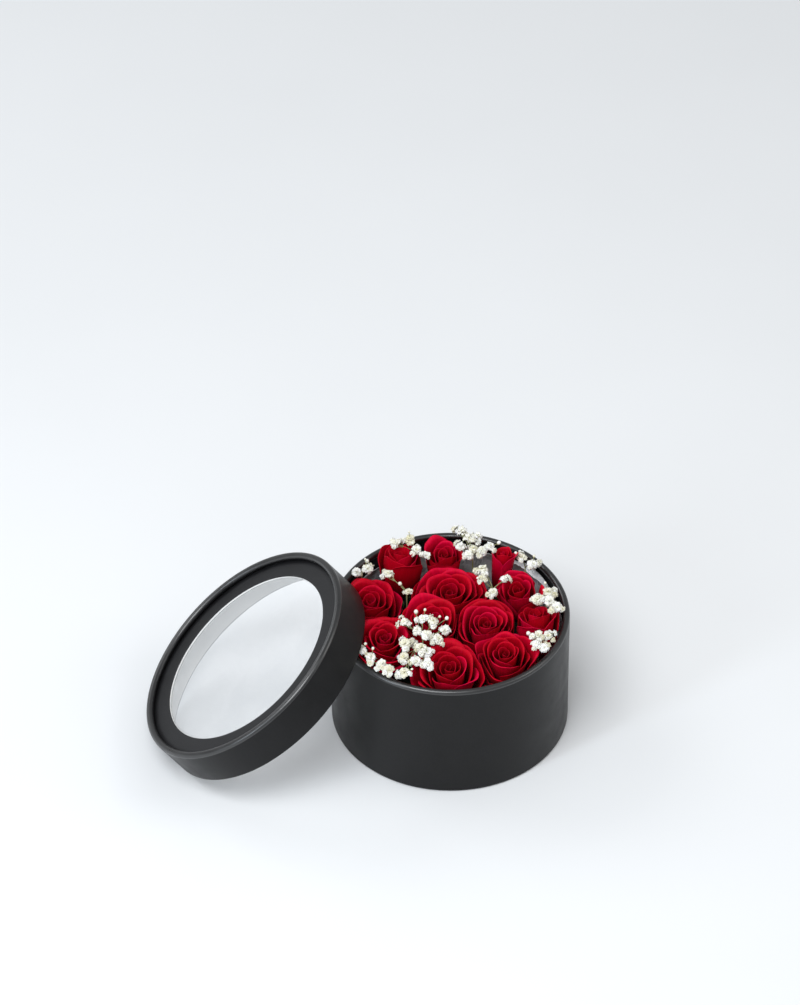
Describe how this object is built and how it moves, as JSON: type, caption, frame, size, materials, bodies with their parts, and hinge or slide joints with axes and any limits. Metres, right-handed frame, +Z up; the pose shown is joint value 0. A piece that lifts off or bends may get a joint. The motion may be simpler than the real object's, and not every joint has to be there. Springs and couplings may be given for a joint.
{
  "type": "flower box",
  "caption": "Round black hat box filled with red roses and baby's breath, with a windowed lid leaning on its curled rim.",
  "frame": {"origin": "centre of the box's underside, on the surface that it stands on", "axes": "+Z up, -X towards the leaning lid; -Y is the side that the arrangement faces"},
  "size_m": [0.3219, 0.2122, 0.1412],
  "materials": {
    "board": "matt black covered board",
    "black_paper": "fine-grained matt black paper",
    "white_paper": "smooth white",
    "clear_film": "clear gloss film",
    "foam": "open-celled green foam",
    "petal": "velvety red petal",
    "stem": "green stem and sepals",
    "floret": "matt white florets with a green-cream core"
  },
  "bodies": {
    "box": {"box_wall": "board", "box_wrap": "black_paper", "box_base": "board", "box_lining": "black_paper", "film_liner": "clear_film", "foam_block": "foam", "rose_01_bloom": "petal", "rose_02_bloom": "petal", "rose_03_bloom": "petal", "rose_04_bloom": "petal", "rose_05_bloom": "petal", "rose_06_bloom": "petal", "rose_07_bloom": "petal", "rose_08_bloom": "petal", "rose_09_bloom": "petal", "rose_10_bloom": "petal", "rose_11_bloom": "petal", "rose_12_bloom": "petal", "rose_01_stem": "stem", "rose_02_stem": "stem", "rose_03_stem": "stem", "rose_04_stem": "stem", "rose_05_stem": "stem", "rose_06_stem": "stem", "rose_07_stem": "stem", "rose_08_stem": "stem", "rose_09_stem": "stem", "rose_10_stem": "stem", "rose_11_stem": "stem", "rose_12_stem": "stem", "sprig_left": "floret", "sprig_left_back": "floret", "sprig_left_centre": "floret", "sprig_back": "floret", "sprig_centre_right": "floret", "sprig_right_back": "floret", "sprig_right": "floret", "sprig_right_front": "floret", "sprig_centre_left": "floret", "sprig_front_left": "floret", "sprig_left_front": "floret"},
    "lid": {"lid_wall": "board", "lid_wrap": "black_paper", "lid_panel": "black_paper", "lid_window": "clear_film", "lid_backing": "white_paper", "lid_lining": "white_paper"}
  },
  "joints": [
    {"name": "lid_lift", "type": "slide", "parent": "box", "child": "lid", "axis": [0, 0, 1], "range_m": [0, 0.2]}
  ]
}
